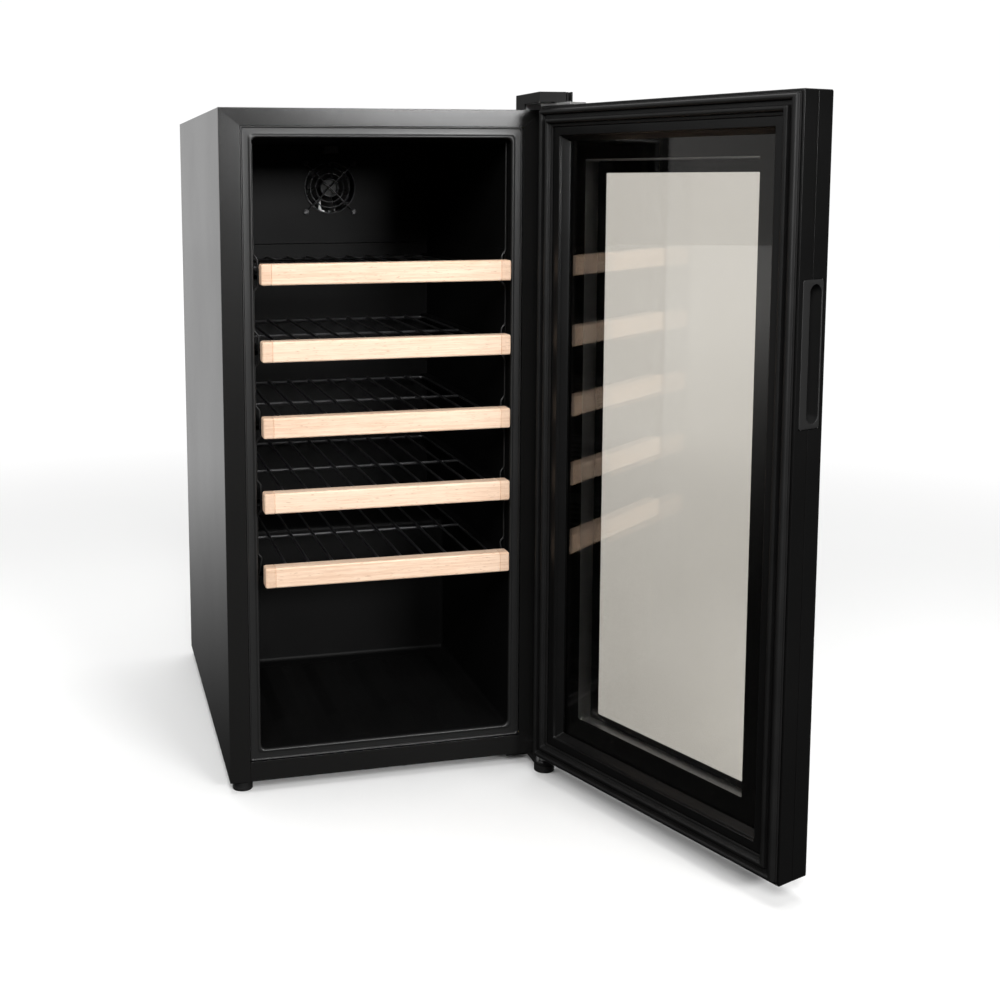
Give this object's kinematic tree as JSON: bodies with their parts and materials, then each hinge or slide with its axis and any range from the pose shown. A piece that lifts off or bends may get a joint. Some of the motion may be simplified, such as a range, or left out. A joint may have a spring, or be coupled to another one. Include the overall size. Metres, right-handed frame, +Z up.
{
  "type": "wine cooler",
  "caption": "Compressor wine cooler: a black insulated cabinet with a side-hinged double-glazed door and pull-out wire bottle shelves with beech fronts.",
  "frame": {"origin": "on the floor, under the middle of the whole part's box at rest (door open)", "axes": "+X to the right seen from the front, +Y towards the back, +Z up; the front faces -Y"},
  "size_m": [0.559, 0.9308, 0.855],
  "materials": {
    "case_steel": "satin",
    "black_plastic": "satin",
    "liner_plastic": "satin",
    "zinc_steel": "satin",
    "insulation_foam": "matte",
    "beech": "satin",
    "coated_wire": "satin",
    "glass": "gloss",
    "rubber": "matte",
    "aluminium": "satin",
    "copper": "satin",
    "lamp_lens": "gloss"
  },
  "bodies": {
    "cabinet": {"outer_case": "case_steel", "front_sill": "case_steel", "base_plate": "zinc_steel", "mouth_trim": "black_plastic", "inner_liner": "liner_plastic", "insulation_foam": "insulation_foam", "back_panel": "case_steel", "compartment_cover": "case_steel", "power_inlet": "black_plastic", "evaporator_cover": "liner_plastic", "rear_duct_panel": "liner_plastic", "evaporator": "aluminium", "fan_frame": "black_plastic", "fan_guard": "coated_wire", "interior_lamp": "lamp_lens", "left_shelf_panel": "liner_plastic", "right_shelf_panel": "liner_plastic", "compressor": "case_steel", "compressor_grommet_1": "rubber", "compressor_grommet_2": "rubber", "compressor_grommet_3": "rubber", "compressor_grommet_4": "rubber", "start_relay_box": "black_plastic", "filter_drier": "copper", "condenser_coil": "coated_wire", "evaporation_tray": "black_plastic", "top_hinge_bracket": "zinc_steel", "top_hinge_cover": "black_plastic", "top_hinge_pin": "zinc_steel", "top_hinge_screw_1": "zinc_steel", "top_hinge_screw_2": "zinc_steel", "bottom_hinge_bracket": "zinc_steel", "bottom_hinge_pin": "zinc_steel", "rear_left_foot": "black_plastic", "rear_right_foot": "black_plastic"},
    "door": {"door_outer_frame": "case_steel", "door_inner_frame": "black_plastic", "outer_glass": "glass", "inner_glass": "glass", "glass_spacer": "aluminium", "door_gasket": "rubber", "handle_insert": "black_plastic", "top_hinge_arm": "zinc_steel", "bottom_hinge_arm": "zinc_steel", "top_hinge_bush": "black_plastic", "bottom_hinge_bush": "black_plastic"},
    "shelf_1": {"shelf_1_front": "beech", "shelf_1_rack": "coated_wire"},
    "shelf_2": {"shelf_2_front": "beech", "shelf_2_rack": "coated_wire"},
    "shelf_3": {"shelf_3_front": "beech", "shelf_3_rack": "coated_wire"},
    "shelf_4": {"shelf_4_front": "beech", "shelf_4_rack": "coated_wire"},
    "shelf_5": {"shelf_5_front": "beech", "shelf_5_rack": "coated_wire"},
    "fan": {"fan_rotor": "black_plastic"},
    "left_foot": {"front_left_foot": "black_plastic"},
    "right_foot": {"front_right_foot": "black_plastic"}
  },
  "joints": [
    {"name": "door_hinge", "type": "hinge", "parent": "cabinet", "child": "door", "pos_m": [0.11952, -0.08462, 0.43], "axis": [0, 0, 1], "range_deg": [-110, 15]},
    {"name": "shelf_1_slide", "type": "slide", "parent": "cabinet", "child": "shelf_1", "axis": [0, -1, 0], "range_m": [-0.012, 0.2]},
    {"name": "shelf_2_slide", "type": "slide", "parent": "cabinet", "child": "shelf_2", "axis": [0, -1, 0], "range_m": [-0.012, 0.2]},
    {"name": "shelf_3_slide", "type": "slide", "parent": "cabinet", "child": "shelf_3", "axis": [0, -1, 0], "range_m": [-0.012, 0.2]},
    {"name": "shelf_4_slide", "type": "slide", "parent": "cabinet", "child": "shelf_4", "axis": [0, -1, 0], "range_m": [-0.012, 0.2]},
    {"name": "shelf_5_slide", "type": "slide", "parent": "cabinet", "child": "shelf_5", "axis": [0, -1, 0], "range_m": [-0.012, 0.2]},
    {"name": "fan_spin", "type": "hinge", "parent": "cabinet", "child": "fan", "pos_m": [-0.07148, 0.35518, 0.74], "axis": [0, -1, 0], "continuous": true},
    {"name": "left_foot_turn", "type": "hinge", "parent": "cabinet", "child": "left_foot", "pos_m": [-0.26248, -0.04262, 0.005], "axis": [0, 0, 1], "continuous": true},
    {"name": "right_foot_turn", "type": "hinge", "parent": "cabinet", "child": "right_foot", "pos_m": [0.11952, -0.08462, 0.005], "axis": [0, 0, 1], "continuous": true}
  ]
}
